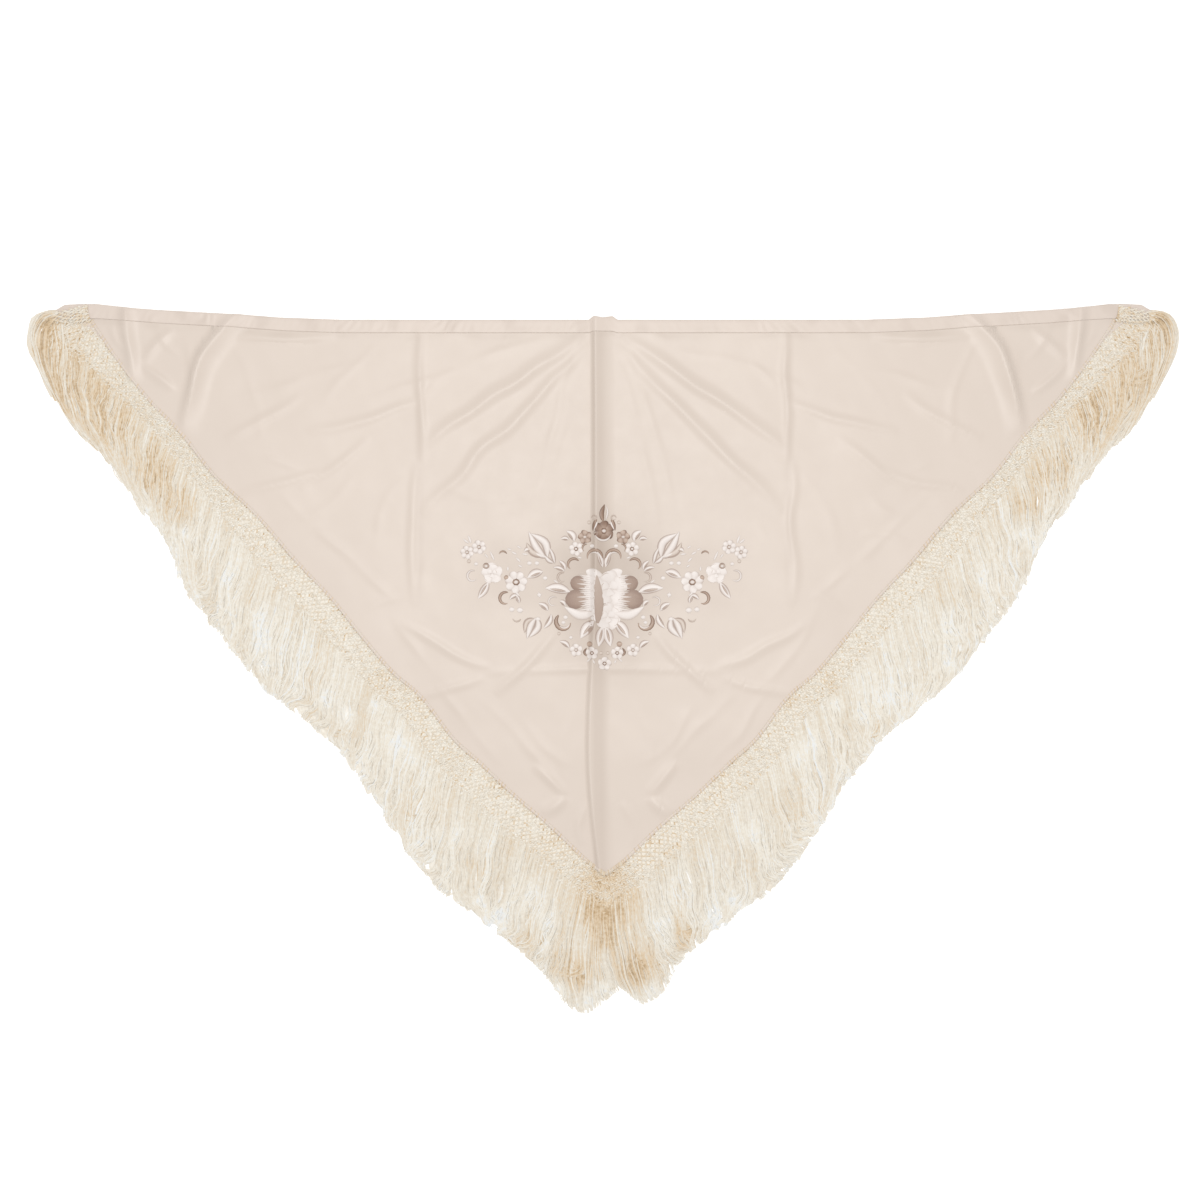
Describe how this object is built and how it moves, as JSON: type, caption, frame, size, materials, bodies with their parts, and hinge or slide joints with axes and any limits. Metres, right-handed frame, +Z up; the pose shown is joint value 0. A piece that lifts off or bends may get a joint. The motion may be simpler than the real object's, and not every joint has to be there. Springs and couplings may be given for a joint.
{
  "type": "fringed triangular shawl",
  "caption": "Triangular silk shawl laid flat, with a narrow top hem, knotted net border, long wavy fringe and raised floral embroidery.",
  "frame": {"origin": "on the surface that the shawl lies on, below the middle of its outline", "axes": "+X along the long hemmed edge, +Y from the tip towards that edge, +Z up from the surface"},
  "size_m": [1.543, 0.9501, 0.0101],
  "materials": {
    "satin": "soft blush silk satin",
    "net": "knotted ivory silk cord",
    "fringe": "lustrous ivory silk strands",
    "stitch_white": "raised satin stitch, white silk",
    "stitch_beige": "raised satin stitch, beige silk",
    "stitch_brown": "raised satin stitch, brown silk"
  },
  "bodies": {
    "root": {"silk_panel": "satin", "top_hem_left": "satin", "top_hem_middle": "satin", "top_hem_right": "satin", "net_left": "net", "net_right": "net", "fringe_left": "fringe", "fringe_right": "fringe", "stitched_rose_large": "stitch_white", "stitched_rose_small": "stitch_white", "stitched_flower_top": "stitch_brown", "stitched_flower_bottom": "stitch_beige", "stitched_petal_upper_left": "stitch_brown", "stitched_petal_upper_right": "stitch_brown", "stitched_petal_lower_left": "stitch_brown", "stitched_petal_lower_right": "stitch_brown", "stitched_flower_small_left": "stitch_beige", "stitched_flower_small_right": "stitch_beige", "stitched_bud_tall_left": "stitch_white", "stitched_bud_tall_right": "stitch_white", "stitched_bud_side_left": "stitch_beige", "stitched_bud_side_right": "stitch_beige", "stitched_flower_wide_left": "stitch_white", "stitched_flower_wide_right": "stitch_white", "stitched_rose_outer_left": "stitch_white", "stitched_rose_outer_right": "stitch_white", "stitched_flower_twin_left": "stitch_beige", "stitched_flower_twin_right": "stitch_beige", "stitched_leaf_outer_left": "stitch_white", "stitched_leaf_outer_right": "stitch_white", "stitched_leaf_spray_left": "stitch_white", "stitched_leaf_spray_right": "stitch_white", "stitched_bud_low_left": "stitch_beige", "stitched_bud_low_right": "stitch_beige", "stitched_scroll_low_left": "stitch_brown", "stitched_scroll_low_right": "stitch_brown", "stitched_scroll_outer_left": "stitch_brown", "stitched_scroll_outer_right": "stitch_brown", "stitched_flower_low_left": "stitch_beige", "stitched_flower_low_right": "stitch_beige", "stitched_arch_left": "stitch_brown", "stitched_arch_right": "stitch_brown", "stitched_leaf_side_left": "stitch_white", "stitched_leaf_side_right": "stitch_white", "stitched_leaf_under_left": "stitch_white", "stitched_leaf_under_right": "stitch_white", "stitched_leaf_low_left": "stitch_white", "stitched_leaf_low_right": "stitch_white"}
  },
  "joints": []
}
